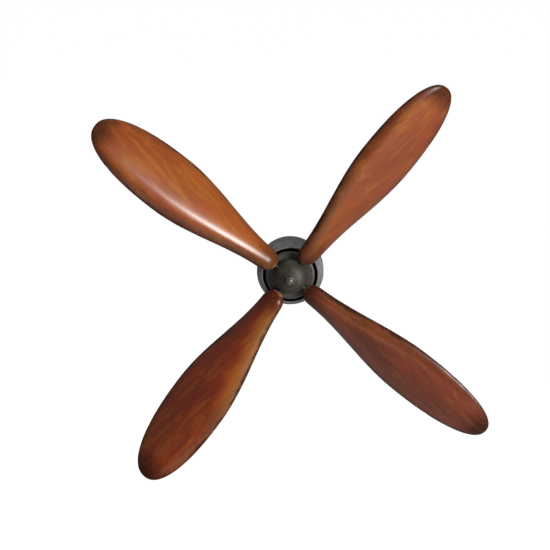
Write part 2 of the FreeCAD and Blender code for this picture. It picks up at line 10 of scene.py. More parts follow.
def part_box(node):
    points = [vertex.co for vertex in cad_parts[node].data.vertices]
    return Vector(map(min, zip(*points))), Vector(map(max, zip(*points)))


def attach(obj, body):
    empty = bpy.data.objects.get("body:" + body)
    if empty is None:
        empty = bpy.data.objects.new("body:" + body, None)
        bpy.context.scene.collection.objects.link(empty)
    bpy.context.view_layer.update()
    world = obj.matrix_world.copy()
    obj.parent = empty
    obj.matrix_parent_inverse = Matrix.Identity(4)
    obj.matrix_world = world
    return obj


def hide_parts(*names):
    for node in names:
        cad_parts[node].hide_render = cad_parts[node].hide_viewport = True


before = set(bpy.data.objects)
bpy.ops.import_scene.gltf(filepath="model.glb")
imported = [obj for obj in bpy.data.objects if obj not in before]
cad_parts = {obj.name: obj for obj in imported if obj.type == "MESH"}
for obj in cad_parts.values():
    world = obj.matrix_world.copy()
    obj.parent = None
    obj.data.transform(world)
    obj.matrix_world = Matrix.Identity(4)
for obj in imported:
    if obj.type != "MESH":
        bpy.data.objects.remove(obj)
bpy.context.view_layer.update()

bl_info = {
    "name": "Wooden propeller",
    "version": (1, 0, 0),
    "blender": (4, 5, 0),
    "location": "View3D > Sidebar > Propeller",
    "description": "Carved blades and the finishes of the hub and its fixings, around a fixed frame",
    "category": "Object",
}

TURNING_BODY = "rotor"
BODY_MIDDLE = "hub_drum"    # the node whose front face the camera and the lights aim at

# Shape of the blades; shares run from 0 at the root to 1 at the tip.
CREST = 0.28                # place of the camber's crest, as a share of the width
SHANK_BLEND = 0.22          # share over which the round shank turns into an airfoil
OVAL_SHARE = 0.2            # share of the oval that stays in the airfoil
TAPER = 0.75                # power of the thickness's fall from the shank
TIP_FULLNESS = 2.3          # power of the tip's outline; 2 makes an ellipse
TIP_EDGE = 9                # power that holds the thickness until close to the tip
ROOT_WIDTH_END = (0.027, 2.2)       # length and power of the root end's rounding, across
ROOT_THICKNESS_END = (0.025, 2)     # the same through the thickness

# Wear that is cut into the edges of the blades, in metres.
DENT_DEPTH = 0.0035         # depth per unit of noise above the level
DENT_LEVEL = 0.38           # noise above this level is a dent
WAVE_DEPTH = 0.0005         # depth of the long waves
WEAR_REACH = 0.006          # distance from the edge over which the wear fades out

# The blades' looks aren't alike, partly in stain and partly in painted light and shade. Warmth moves a
# stain from dark to light and tint multiplies it; both also hold painted light and shade, lighter on the
# blades that face the key light.
# Painted shade darkens the side of the leading edge and painted highlight lays amber there. The first is
# the upper right one.
BladeLook = namedtuple("BladeLook", "warmth tint burn rub")
BLADE_LOOKS = (
    BladeLook(warmth=0.11, tint=(0.93, 0.87, 0.28), burn=0.55, rub=0.20),
    BladeLook(warmth=0.25, tint=(1.0, 0.98, 0.80), burn=0.70, rub=0.0),
    BladeLook(warmth=0.04, tint=(1.0, 0.64, 0.16), burn=0.0, rub=0.70),
    BladeLook(warmth=-0.02, tint=(0.92, 0.72, 0.62), burn=0.0, rub=0.20),
)
GRAIN_TURN = 0.23           # angle between the grain and the blade's length, in radians

# Metals: base and worn colour come from the settings; the rest is how shiny and how cloudy they are.
MetalFinish = namedtuple("MetalFinish", "roughness metallic cloud_scale")
GUNMETAL_FINISH = MetalFinish(0.55, 0.75, 45.0)
WASHER_FINISH = MetalFinish(0.50, 0.3, 120.0)
NOSE_FINISH = MetalFinish(0.28, 0.8, 220.0)
CANOPY_FINISH = MetalFinish(0.42, 0.4, 45.0)
BLACK_FINISH = MetalFinish(0.5, 0.2, 45.0)
ZINC_FINISH = MetalFinish(0.36, 1.0, 90.0)
BRONZE_FINISH = MetalFinish(0.34, 1.0, 90.0)
WASHER_PAINTED_SHADE = 0.45         # the nose washer's colour as a share of the gunmetal; its darkness is painted shade of the nose nut's shadow
NOSE_SHADE = 2.8            # the nose nut's colour, as a share of the gunmetal

SoftLight = namedtuple("SoftLight", "name place width height watts colour")
LIGHTS = (
    SoftLight("key", (2.65, -3.0, 0.8), 1.4, 1.4, 130.0, (1.0, 0.98, 0.95)),
    SoftLight("top", (0.3, 0.3, 2.6), 1.6, 1.0, 5.0, (0.92, 0.95, 1.0)),
    SoftLight("fill_low", (-1.2, -2.2, -1.4), 2.0, 1.0, 3.5, (0.94, 0.94, 1.0)),
)
WORLD_STRENGTH = 0.15       # light of the surroundings
WORLD_SEEN = 0.8            # extra brightness that only the camera sees
FLOOR_GREY = 0.62           # how much light the floor gives back
FLOOR_SEEN = 0.9            # glow of the floor that only the camera sees
FLOOR_SIZE = 14.0           # half the floor's side
FLOOR_BACK = 6.0            # how far the floor's middle lies behind the hub


def depth_of(node, side):
    """Depth in front of the wall of a node's rear (side 0) or front (side 1)."""
    low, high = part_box(node)
    return -high.y if side == 0 else -low.y


# ------------------------------------------------------------------ settings


class BladeSettings(bpy.types.PropertyGroup):
    """Sizes of the four carved blades."""

    root_radius: FloatProperty(
        name="Root radius", description="Distance of the root end from the axis",
        default=0.038, unit="LENGTH")
    tip_radius: FloatProperty(
        name="Tip radius", description="Distance of the tip from the axis",
        default=0.507, unit="LENGTH")
    widest_radius: FloatProperty(
        name="Widest radius", description="Distance of the widest section from the axis",
        default=0.316, unit="LENGTH")
    root_chord: FloatProperty(
        name="Shank width", description="Width of the shank next to the hub",
        default=0.0475, unit="LENGTH")
    widest_chord: FloatProperty(
        name="Widest width", description="Width of the blade where it is widest",
        default=0.132, unit="LENGTH")
    shank_thickness: FloatProperty(
        name="Shank thickness", description="Thickness of the shank next to the hub",
        default=0.032, unit="LENGTH")
    tip_thickness: FloatProperty(
        name="Tip thickness", description="Thickness towards the tip",
        default=0.009, unit="LENGTH")
    root_pitch: FloatProperty(
        name="Root pitch", description="Twist of the section at the root",
        default=math.radians(32.5), subtype="ANGLE")
    tip_pitch: FloatProperty(
        name="Tip pitch", description="Twist of the section at the tip",
        default=math.radians(29.5), subtype="ANGLE")
    axis_depth: FloatProperty(
        name="Axis depth", description="Depth of the blade's axis at the root, in front of the wall",
        default=0.0778, unit="LENGTH")
    lean: FloatProperty(
        name="Lean", description="Forward lean of the blade's axis per unit of radius",
        default=0.075)
    camber: FloatProperty(
        name="Camber", description="Camber as a share of the width",
        default=0.068)
    angles: FloatVectorProperty(
        name="Blade angles", description="Angle of each blade at rest, in degrees, seen from the front",
        default=(52.1, 140.7, 233.8, 321.6), size=4)
    section_points: IntProperty(
        name="Section points", description="Points round each section",
        default=72, min=16)
    stations: IntProperty(
        name="Stations", description="Sections from the root to the tip",
        default=120, min=16)


class WoodSettings(bpy.types.PropertyGroup):
    """Colours of the stained and varnished wood."""

    dark: FloatVectorProperty(
        name="Dark grain", description="Colour of the dark grain lines",
        default=(0.110, 0.016, 0.002), subtype="COLOR", size=3)
    middle: FloatVectorProperty(
        name="Stain", description="Main colour of the stained wood",
        default=(0.345, 0.064, 0.008), subtype="COLOR", size=3)
    light: FloatVectorProperty(
        name="Light grain", description="Colour of the light grain",
        default=(0.560, 0.148, 0.020), subtype="COLOR", size=3)
    # also the colour of the painted shade along the leading side of some blades
    burnish_and_shade: FloatVectorProperty(
        name="Burnished edge", description="Colour of the edges and tips, darkened by hand",
        default=(0.028, 0.011, 0.007), subtype="COLOR", size=3)
    amber: FloatVectorProperty(
        name="Amber", description="Colour where the stain has been rubbed thin",
        default=(0.500, 0.190, 0.022), subtype="COLOR", size=3)
    bare: FloatVectorProperty(
        name="Bare wood", description="Colour of chips and scratches",
        default=(0.50, 0.27, 0.12), subtype="COLOR", size=3)
    redness: FloatVectorProperty(
        name="Redness", description="What the redder patches multiply the stain by",
        default=(0.86, 0.58, 0.55), subtype="COLOR", size=3)
    varnish: FloatProperty(
        name="Varnish", description="Weight of the varnish where it isn't rubbed off",
        default=0.95)
    varnish_lost: FloatProperty(
        name="Varnish lost", description="Weight that the varnish loses on edges, tip and root",
        default=0.85)
    varnish_roughness: FloatProperty(
        name="Varnish roughness", description="Roughness of the varnish",
        default=0.27)


class MetalSettings(bpy.types.PropertyGroup):
    """Colours of the hub's metals."""

    gunmetal: FloatVectorProperty(
        name="Gunmetal", description="Aged dark metal of the hub",
        default=(0.140, 0.132, 0.112), subtype="COLOR", size=3)
    worn: FloatVectorProperty(
        name="Worn metal", description="Metal where the dark finish is rubbed thin",
        default=(0.25, 0.25, 0.24), subtype="COLOR", size=3)
    canopy: FloatVectorProperty(
        name="Canopy", description="Grey metal of the wall canopy",
        default=(0.460, 0.455, 0.470), subtype="COLOR", size=3)


class StageSettings(bpy.types.PropertyGroup):
    """Camera, lights and floor."""

    elevation: FloatProperty(
        name="Elevation", description="Height of the camera above the horizon",
        default=math.radians(13.5), subtype="ANGLE")
    distance: FloatProperty(
        name="Distance", description="Distance of the camera from the hub",
        default=9.0, unit="LENGTH")
    field: FloatProperty(
        name="Field", description="Width that the camera sees at the hub",
        default=1.118, unit="LENGTH")
    shift_x: FloatProperty(
        name="Shift across", description="Sideways shift of the frame", default=-0.0277)
    shift_y: FloatProperty(
        name="Shift up", description="Upward shift of the frame", default=0.001)
    floor_drop: FloatProperty(
        name="Floor drop", description="Distance of the floor below the hub",
        default=1.4, unit="LENGTH")


# ------------------------------------------------------------------ node helpers


def add(tree, kind, **values):
    """A node of a tree with its properties and constant inputs set, by name."""
    node = tree.nodes.new(kind)
    for name, value in values.items():
        if name.startswith("set_"):
            node.inputs[name[4:].replace("_", " ")].default_value = value
        else:
            setattr(node, name, value)
    return node


def link(tree, source, target):
    """A link from an output socket to an input socket."""
    tree.links.new(source, target)


def maths(tree, operation, first, second=None, third=None, clamp=False):
    """A Math node; each input is a number or a socket. Gives the output socket."""
    node = tree.nodes.new("ShaderNodeMath")
    node.operation = operation
    node.use_clamp = clamp
    for socket, value in zip(node.inputs, (first, second, third)):
        if value is None:
            continue
        if isinstance(value, (int, float)):
            socket.default_value = value
        else:
            tree.links.new(value, socket)
    return node.outputs[0]


def blend_colour(tree, factor, first, second, mode="MIX"):
    """A colour Mix node; each input is a value or a socket. Gives the output socket."""
    node = tree.nodes.new("ShaderNodeMix")
    node.data_type = "RGBA"
    node.blend_type = mode
    node.clamp_factor = True
    for socket, value in ((node.inputs[0], factor), (node.inputs[6], first), (node.inputs[7], second)):
        if isinstance(value, bpy.types.NodeSocket):
            tree.links.new(value, socket)
        elif isinstance(value, (int, float)):
            socket.default_value = value
        else:
            socket.default_value = (*value[:3], 1)
    return node.outputs[2]


def spread(tree, value, low, high, to_low=0.0, to_high=1.0):
    """A smooth step of a value from one range to another. Gives the output socket."""
    node = tree.nodes.new("ShaderNodeMapRange")
    node.interpolation_type = "SMOOTHSTEP"
    node.inputs["From Min"].default_value = low
    node.inputs["From Max"].default_value = high
    node.inputs["To Min"].default_value = to_low
    node.inputs["To Max"].default_value = to_high
    tree.links.new(value, node.inputs["Value"])
    return node.outputs["Result"]


def stretched_noise(tree, vector, stretch, scale, detail=4.0, roughness=0.55, distortion=0.0,
                    shift=(0, 0, 0)):
    """Noise on a vector that is first scaled along each axis. Gives the noise's value socket."""
    mapping = add(tree, "ShaderNodeMapping")
    mapping.inputs["Scale"].default_value = stretch
    mapping.inputs["Location"].default_value = shift
    link(tree, vector, mapping.inputs["Vector"])
    texture = add(tree, "ShaderNodeTexNoise")
    texture.inputs["Scale"].default_value = scale
    texture.inputs["Detail"].default_value = detail
    texture.inputs["Roughness"].default_value = roughness
    texture.inputs["Distortion"].default_value = distortion
    link(tree, mapping.outputs["Vector"], texture.inputs["Vector"])
    return texture.outputs["Fac"]


def separate(tree, vector):
    """The x, y and z sockets of a vector socket, by name."""
    node = tree.nodes.new("ShaderNodeSeparateXYZ")
    tree.links.new(vector, node.inputs["Vector"])
    return node.outputs


def axis_radius(tree, parts):
    """Distance from the turning axis, which is the y axis, of a position that is split in three."""
    across = maths(tree, "MULTIPLY", parts["X"], parts["X"])
    up = maths(tree, "MULTIPLY", parts["Z"], parts["Z"])
    return maths(tree, "SQRT", maths(tree, "ADD", across, up))


def shaded(colour, share):
    """A colour with each channel multiplied by a share."""
    return [value * share for value in colour]


def new_group(name, inputs, outputs):
    """A shader node group with named sockets; gives the tree, its input node and output node."""
    tree = bpy.data.node_groups.new(name, "ShaderNodeTree")
    for socket_name, kind, default in inputs:
        socket = tree.interface.new_socket(name=socket_name, in_out="INPUT", socket_type=kind)
        if default is not None:
            socket.default_value = default
    for socket_name, kind in outputs:
        tree.interface.new_socket(name=socket_name, in_out="OUTPUT", socket_type=kind)
    return tree, tree.nodes.new("NodeGroupInput"), tree.nodes.new("NodeGroupOutput")


def place_group(tree, group, **values):
    """A group placed in a material, with constant inputs set by name."""
    node = tree.nodes.new("ShaderNodeGroup")
    node.node_tree = group
    for name, value in values.items():
        node.inputs[name.replace("_", " ")].default_value = value
    return node


def new_material(name):
    """An empty material with a Principled BSDF; gives the material, its tree and the shader."""
    material = bpy.data.materials.new(name)
    material.use_nodes = True
    tree = material.node_tree
    tree.nodes.clear()
    shader = tree.nodes.new("ShaderNodeBsdfPrincipled")
    output = tree.nodes.new("ShaderNodeOutputMaterial")
    link(tree, shader.outputs["BSDF"], output.inputs["Surface"])
    return material, tree, shader


def bump(tree, shader, height, strength, distance, target="Normal"):
    """A Bump node from a height socket into a normal input of the shader."""
    node = add(tree, "ShaderNodeBump")
    node.inputs["Strength"].default_value = strength
    node.inputs["Distance"].default_value = distance
    link(tree, height, node.inputs["Height"])
    link(tree, node.outputs["Normal"], shader.inputs[target])


# ------------------------------------------------------------------ shared effects


def grain_group():
    """Wood grain along x: broad figure, fine streaks and short dark pores."""
    tree, start, end = new_group(
        "wood_grain",
        [("Vector", "NodeSocketVector", None), ("Figure", "NodeSocketFloat", 1.0)],
        [("Figure", "NodeSocketFloat"), ("Streaks", "NodeSocketFloat"), ("Pores", "NodeSocketFloat"),
         ("Height", "NodeSocketFloat")])
    vector = start.outputs["Vector"]
    broad = stretched_noise(tree, vector, (5, 34, 34), 1.0, 3.0, 0.5, 0.9)
    bands = maths(tree, "MULTIPLY", broad, 9.0)
    bands = maths(tree, "SINE", bands)
    bands = maths(tree, "MULTIPLY_ADD", bands, 0.5, 0.5)
    bands = maths(tree, "MULTIPLY", bands, start.outputs["Figure"])
    streaks = stretched_noise(tree, vector, (9, 420, 420), 1.0, 6.0, 0.65, 0.25)
    pores = stretched_noise(tree, vector, (55, 1500, 1500), 1.0, 2.0, 0.5)
    pores = spread(tree, pores, 0.60, 0.72)
    height = maths(tree, "MULTIPLY_ADD", pores, -0.8, streaks)
    link(tree, bands, end.inputs["Figure"])
    link(tree, streaks, end.inputs["Streaks"])
    link(tree, pores, end.inputs["Pores"])
    link(tree, height, end.inputs["Height"])
    return tree


def scuff_group():
    """Scratches and small dents: thin broken lines in one direction, and specks."""
    tree, start, end = new_group(
        "scuffs",
        [("Vector", "NodeSocketVector", None), ("Amount", "NodeSocketFloat", 1.0)],
        [("Scratches", "NodeSocketFloat"), ("Specks", "NodeSocketFloat")])
    vector = start.outputs["Vector"]
    turn = add(tree, "ShaderNodeMapping")
    turn.inputs["Rotation"].default_value = (0.1, 0.0, 0.32)
    link(tree, vector, turn.inputs["Vector"])
    lines = stretched_noise(tree, turn.outputs["Vector"], (28, 900, 300), 1.0, 1.5, 0.4, 0.6)
    lines = spread(tree, lines, 0.705, 0.735)
    patches = stretched_noise(tree, vector, (14, 14, 14), 1.0, 2.0)
    patches = spread(tree, patches, 0.50, 0.62)
    lines = maths(tree, "MULTIPLY", lines, patches)
    lines = maths(tree, "MULTIPLY", lines, start.outputs["Amount"], clamp=True)
    specks = stretched_noise(tree, vector, (1, 1, 1), 330.0, 1.0, 0.4)
    specks = spread(tree, specks, 0.735, 0.765)
    specks = maths(tree, "MULTIPLY", specks, start.outputs["Amount"], clamp=True)
    link(tree, lines, end.inputs["Scratches"])
    link(tree, specks, end.inputs["Specks"])
    return tree


def tarnish_group():
    """Cloudy tarnish, fine turning lines round the axis and rubbed spots, on the part's own position."""
    tree, start, end = new_group(
        "tarnish",
        [("Position", "NodeSocketVector", None), ("Cloud scale", "NodeSocketFloat", 45.0)],
        [("Clouds", "NodeSocketFloat"), ("Lines", "NodeSocketFloat"), ("Rubbed", "NodeSocketFloat")])
    position = start.outputs["Position"]
    clouds = add(tree, "ShaderNodeTexNoise")
    clouds.inputs["Detail"].default_value = 6.0
    clouds.inputs["Roughness"].default_value = 0.62
    link(tree, position, clouds.inputs["Vector"])
    link(tree, start.outputs["Cloud scale"], clouds.inputs["Scale"])
    parts = separate(tree, position)
    lines_per_metre = 1400.0
    rings = add(tree, "ShaderNodeCombineXYZ")
    link(tree, maths(tree, "MULTIPLY", axis_radius(tree, parts), lines_per_metre), rings.inputs["X"])
    link(tree, maths(tree, "MULTIPLY", parts["Y"], lines_per_metre), rings.inputs["Y"])
    lines = add(tree, "ShaderNodeTexNoise")
    lines.inputs["Scale"].default_value = 1.0
    lines.inputs["Detail"].default_value = 3.0
    link(tree, rings.outputs["Vector"], lines.inputs["Vector"])
    rubbed = stretched_noise(tree, position, (1, 1, 1), 160.0, 5.0, 0.7)
    rubbed = spread(tree, rubbed, 0.60, 0.72)
    link(tree, clouds.outputs["Fac"], end.inputs["Clouds"])
    link(tree, lines.outputs["Fac"], end.inputs["Lines"])
    link(tree, rubbed, end.inputs["Rubbed"])
    return tree


# ------------------------------------------------------------------ materials


def stained_colour(tree, vector, wood, lines, look):
    """The stain, from dark grain to light grain, with amber and red patches, and each blade's warmth and
    tint, which also hold painted light and shade; and the amber's noise.
    """
    cloud = stretched_noise(tree, vector, (5, 13, 13), 1.0, 4.0, 0.55, 0.8)
    tone = maths(tree, "MULTIPLY", lines["Figure"], 0.26)
    tone = maths(tree, "MULTIPLY_ADD", lines["Streaks"], 0.55, tone)
    tone = maths(tree, "MULTIPLY_ADD", cloud, 0.65, tone)
    # each blade's warmth also lightens or darkens it as painted light and shade
    tone = maths(tree, "ADD", tone, look.warmth - 0.25)
    colour = blend_colour(tree, spread(tree, tone, 0.05, 0.50), wood.dark, wood.middle)
    colour = blend_colour(tree, spread(tree, tone, 0.42, 0.95), colour, wood.light)
    colour = blend_colour(tree, maths(tree, "MULTIPLY", lines["Pores"], 0.45), colour, wood.dark)
    thin = stretched_noise(tree, vector, (7, 30, 30), 1.0, 5.0, 0.62, 1.2, (0.4, 0.0, 0.0))
    colour = blend_colour(tree, spread(tree, thin, 0.50, 0.66, 0.0, 0.50), colour, wood.amber)
    red = stretched_noise(tree, vector, (6, 22, 22), 1.0, 3.0, 0.5, 0.8, (3.1, 0.0, 0.0))
    redder = blend_colour(tree, 1.0, colour, wood.redness, "MULTIPLY")
    colour = blend_colour(tree, spread(tree, red, 0.52, 0.68, 0.0, 0.7), colour, redder)
    # each blade's tint also carries painted light and shade, besides its stain
    return blend_colour(tree, 1.0, colour, look.tint, "MULTIPLY"), thin


def painted_highlight_band(tree, thin, in_front, distances, look):
    """A painted highlight: an amber band along the leading edge, clear of the tip and the root."""
    off_edge = maths(tree, "MULTIPLY_ADD", thin, 0.03, distances["X"])
    band = spread(tree, off_edge, 0.018, 0.050, look.rub, 0.0)
    band = maths(tree, "MULTIPLY", band, in_front)
    band = maths(tree, "MULTIPLY", band, spread(tree, distances["Y"], 0.12, 0.28))
    return maths(tree, "MULTIPLY", band, spread(tree, distances["Z"], 0.01, 0.06))


def bare_marks_and_root_highlight(tree, vector, ragged, distances, marks):
    """How bare the wood is: scratches, specks, chips along the edges, and the pale root end, which is
    partly worn wood and partly a painted highlight.
    """
    chips = stretched_noise(tree, vector, (150, 260, 260), 1.0, 3.0, 0.6)
    chips = spread(tree, chips, 0.66, 0.71)
    chips = maths(tree, "MULTIPLY", chips, spread(tree, distances["X"], 0.0005, 0.0045, 1.0, 0.0))
    # pale ring at the root end: worn wood and a painted highlight of the rounded end
    root_end_bare_and_highlight = maths(tree, "MULTIPLY_ADD", ragged, 0.6, distances["Z"])
    bare = maths(tree, "MAXIMUM", maths(tree, "MULTIPLY", marks["Scratches"], 0.45),
                 maths(tree, "MULTIPLY", marks["Specks"], 0.6))
    bare = maths(tree, "MAXIMUM", bare, maths(tree, "MULTIPLY", chips, 0.8))
    return maths(tree, "MAXIMUM", bare, spread(tree, root_end_bare_and_highlight, 0.0015, 0.0050, 0.6, 0.0))


def wood_material(name, wood, grain, scuffs, shift, look):
    """Stained and varnished wood that follows the blade's own length, with burnished edges and painted
    shade along the leading side of some blades.
    """
    material, tree, shader = new_material(name)
    place = add(tree, "ShaderNodeAttribute", attribute_name="blade_place").outputs["Vector"]
    shifted = add(tree, "ShaderNodeMapping")
    shifted.inputs["Location"].default_value = shift
    shifted.inputs["Rotation"].default_value = (0, 0, GRAIN_TURN)
    link(tree, place, shifted.inputs["Vector"])
    vector = shifted.outputs["Vector"]
    edge_place = add(tree, "ShaderNodeAttribute", attribute_name="edge_place").outputs["Vector"]
    distances = separate(tree, edge_place)
    in_front = spread(tree, separate(tree, place)["Y"], -0.002, 0.002)

    lines = place_group(tree, grain, Figure=1.0)
    link(tree, vector, lines.inputs["Vector"])
    marks = place_group(tree, scuffs, Amount=1.0)
    link(tree, vector, marks.inputs["Vector"])
    colour, thin = stained_colour(tree, vector, wood, lines.outputs, look)
    # painted highlight along the leading edge, in the amber colour
    colour = blend_colour(tree, painted_highlight_band(tree, thin, in_front, distances, look), colour, wood.amber)

    ragged = stretched_noise(tree, vector, (22, 60, 60), 1.0, 4.0, 0.6)
    ragged = maths(tree, "MULTIPLY_ADD", ragged, 0.016, -0.008)
    from_edge = maths(tree, "ADD", distances["X"], ragged)
    from_tip = maths(tree, "MULTIPLY_ADD", ragged, 2.0, distances["Y"])
    near_edge = spread(tree, from_edge, -0.001, 0.007, 0.92, 0.0)
    near_tip = spread(tree, from_tip, 0.010, 0.060, 0.78, 0.0)
    near_root = spread(tree, distances["Z"], 0.008, 0.090, 0.70, 0.0)
    halo = spread(tree, from_edge, 0.003, 0.022, 0.34, 0.0)
    # painted shade on the side of the leading edge, where the leading bevel faces away from the key light
    leading = maths(tree, "MULTIPLY", spread(tree, from_edge, 0.003, 0.021, look.burn, 0.0), in_front)
    # darker edges, tip and root, and the painted shade of the leading side, all in the burnished colour
    burnish_and_shade = near_edge
    for share in (halo, leading, near_tip, near_root):
        burnish_and_shade = maths(tree, "MAXIMUM", burnish_and_shade, share)
    colour = blend_colour(tree, burnish_and_shade, colour, wood.burnish_and_shade)
    # the bare marks include the painted highlight at the root end
    bare = bare_marks_and_root_highlight(tree, vector, ragged, distances, marks.outputs)
    link(tree, blend_colour(tree, bare, colour, wood.bare), shader.inputs["Base Color"])

    smudge = stretched_noise(tree, vector, (9, 16, 16), 1.0, 5.0, 0.6)
    rough = spread(tree, smudge, 0.3, 0.7, 0.32, 0.42)
    rough = maths(tree, "MULTIPLY_ADD", bare, 0.25, rough)
    rough = maths(tree, "MULTIPLY_ADD", near_edge, 0.2, rough)
    link(tree, rough, shader.inputs["Roughness"])
    shader.inputs["Specular IOR Level"].default_value = 0.12
    rubbed_off = maths(tree, "MAXIMUM", near_edge, maths(tree, "MULTIPLY", near_tip, 1.1))
    rubbed_off = maths(tree, "MAXIMUM", rubbed_off, near_root)
    varnish = maths(tree, "MULTIPLY_ADD", rubbed_off, -wood.varnish_lost, wood.varnish)
    link(tree, varnish, shader.inputs["Coat Weight"])
    shader.inputs["Coat Roughness"].default_value = wood.varnish_roughness
    shader.inputs["Coat IOR"].default_value = 1.68
    shader.inputs["Sheen Weight"].default_value = 0.07
    shader.inputs["Sheen Roughness"].default_value = 0.30

    wavy = stretched_noise(tree, vector, (14, 26, 26), 1.0, 2.0, 0.5)
    height = maths(tree, "MULTIPLY_ADD", wavy, 2.2, maths(tree, "MULTIPLY", lines.outputs["Height"], 0.22))
    height = maths(tree, "MULTIPLY_ADD", bare, -0.5, height)
    bump(tree, shader, height, 0.30, 0.0005)
    bump(tree, shader, wavy, 0.30, 0.0008, "Coat Normal")
    return material


def metal_material(name, base, worn, tarnish, finish, bright_places=()):
    """Aged metal: cloudy tone, turning lines, and a rubbed band at each (radius, depth, reach) place."""
    material, tree, shader = new_material(name)
    position = add(tree, "ShaderNodeTexCoord").outputs["Object"]
    marks = place_group(tree, tarnish, Cloud_scale=finish.cloud_scale)
    link(tree, position, marks.inputs["Position"])
    clouds = marks.outputs["Clouds"]
    colour = blend_colour(tree, spread(tree, clouds, 0.30, 0.72), shaded(base, 0.62), base)
    wear = maths(tree, "MULTIPLY", marks.outputs["Rubbed"], 0.22)
    parts = separate(tree, position)
    radius = axis_radius(tree, parts)
    depth = maths(tree, "MULTIPLY", parts["Y"], -1.0)
    for at_radius, at_depth, reach in bright_places:
        off_radius = maths(tree, "ABSOLUTE", maths(tree, "SUBTRACT", radius, at_radius))
        off_depth = maths(tree, "ABSOLUTE", maths(tree, "SUBTRACT", depth, at_depth))
        distance = maths(tree, "ADD", off_radius, off_depth)
        distance = maths(tree, "MULTIPLY_ADD", clouds, reach, distance)
        wear = maths(tree, "MAXIMUM", wear, spread(tree, distance, reach * 0.5, reach * 1.6, 0.45, 0.0))
    link(tree, blend_colour(tree, wear, colour, worn), shader.inputs["Base Color"])
    shader.inputs["Metallic"].default_value = finish.metallic
    rough = spread(tree, clouds, 0.3, 0.75, finish.roughness + 0.10, finish.roughness - 0.04)
    link(tree, rough, shader.inputs["Roughness"])
    height = maths(tree, "MULTIPLY_ADD", marks.outputs["Lines"], 0.35, clouds)
    bump(tree, shader, height, 0.25, 0.0004)
    return material


def plastic_material(name, colour, tarnish):
    """Plain moulded plastic with a faint mottle."""
    material, tree, shader = new_material(name)
    position = add(tree, "ShaderNodeTexCoord").outputs["Object"]
    marks = place_group(tree, tarnish, Cloud_scale=120.0)
    link(tree, position, marks.inputs["Position"])
    mottled = blend_colour(tree, marks.outputs["Clouds"], shaded(colour, 0.85), colour)
    link(tree, mottled, shader.inputs["Base Color"])
    link(tree, spread(tree, marks.outputs["Clouds"], 0.3, 0.7, 0.45, 0.6), shader.inputs["Roughness"])
    bump(tree, shader, marks.outputs["Lines"], 0.2, 0.0002)
    return material


# ------------------------------------------------------------------ mesh helpers


def finish_piece(name, mesh_build, material, body):
    """Turn a bmesh into a named object of the model that rides on a body."""
    mesh = bpy.data.meshes.new(name)
    mesh_build.to_mesh(mesh)
    mesh_build.free()
    piece = bpy.data.objects.new(name, mesh)
    bpy.context.scene.collection.objects.link(piece)
    mesh.materials.append(material)
    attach(piece, body)
    return piece


def paint_nodes(names, material):
    """Give CAD nodes a material."""
    for name in names:
        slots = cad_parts[name].data.materials
        slots.clear()
        slots.append(material)


# ------------------------------------------------------------------ blades


def smooth_power(share, power):
    """A quarter of a superellipse: 1 at share 0 and 0 at share 1."""
    return max(0.0, 1 - share ** power) ** (1 / power)


def root_closing(blade, radius, length, power):
    """How far the rounded root end has opened: 0 at the end, 1 from the given length on."""
    share = min(1.0, (radius - blade.root_radius) / length)
    return smooth_power(1 - share, power)


def blade_chord(blade, radius):
    """Width of the blade: a soft swell from the shank to the widest section, then a blunt tip."""
    if radius >= blade.widest_radius:
        share = (radius - blade.widest_radius) / (blade.tip_radius - blade.widest_radius)
        return blade.widest_chord * smooth_power(share, TIP_FULLNESS)
    share = (radius - blade.root_radius) / (blade.widest_radius - blade.root_radius)
    swell = (1 - math.cos(math.pi * share)) / 2
    width = blade.root_chord + (blade.widest_chord - blade.root_chord) * swell
    return width * root_closing(blade, radius, *ROOT_WIDTH_END)


def blade_thickness(blade, along, radius):
    """Thickness of the blade, rounded off at the root and the tip."""
    taper = blade.shank_thickness * (1 - along) ** TAPER + blade.tip_thickness * along
    tip_closing = max(0.0, 1 - along ** TIP_EDGE) ** (1 / 3)
    return taper * root_closing(blade, radius, *ROOT_THICKNESS_END) * tip_closing


def camber_line(back):
    """Height of the camber line behind the leading edge: two parabolas that meet at the crest."""
    if back < CREST:
        return back * (2 * CREST - back) / CREST ** 2
    return (1 - back) * (1 + back - 2 * CREST) / (1 - CREST) ** 2


def airfoil(back):
    """Half thickness of the usual four-digit airfoil behind its leading edge, as a share of the whole."""
    foil = 0.2969 * math.sqrt(back) - 0.126 * back - 0.3516 * back ** 2 + 0.2843 * back ** 3
    return 5 * max(0.0, foil - 0.1036 * back ** 4)


def blade_point(blade, turn, along):
    """A point of the blade's skin in its own frame, its place on the blade, and its distances from
    the edge, the tip and the root."""
    radius = blade.root_radius + (blade.tip_radius - blade.root_radius) * along
    chord = blade_chord(blade, radius)
    thickness = blade_thickness(blade, along, radius)
    pitch = blade.root_pitch + (blade.tip_pitch - blade.root_pitch) * along
    depth = blade.axis_depth + blade.lean * (radius - blade.root_radius)
    shank_share = math.exp(-(along / SHANK_BLEND) ** 2)
    oval = OVAL_SHARE + (1 - OVAL_SHARE) * shank_share
    back = (1 - math.cos(turn)) / 2
    foil = airfoil(back) * math.copysign(1, math.sin(turn))
    height = thickness * (oval * math.sin(turn) / 2 + (1 - oval) * foil)
    height += blade.camber * chord * (1 - shank_share) * camber_line(back)
    forward = chord * math.cos(turn) / 2
    place = Vector((radius, forward, height))
    point = Vector((
        radius,
        forward * math.cos(pitch) - height * math.sin(pitch),
        depth + forward * math.sin(pitch) + height * math.cos(pitch)))
    distances = Vector((chord / 2 - abs(forward), blade.tip_radius - radius, radius - blade.root_radius))
    return point, place, distances


def nick(place, distances, seed):
    """How far small dents and rubbed flats pull the edge in, in metres."""
    along_edge = Vector((place.x * 70, 3.0 * math.copysign(1, place.y), seed))
    dent = max(0.0, noise.noise(along_edge) - DENT_LEVEL) * DENT_DEPTH
    wave = noise.noise(Vector((place.x * 14, place.y * 9, seed + 5))) * WAVE_DEPTH
    return (dent + wave) * max(0.0, 1 - distances.x / WEAR_REACH)


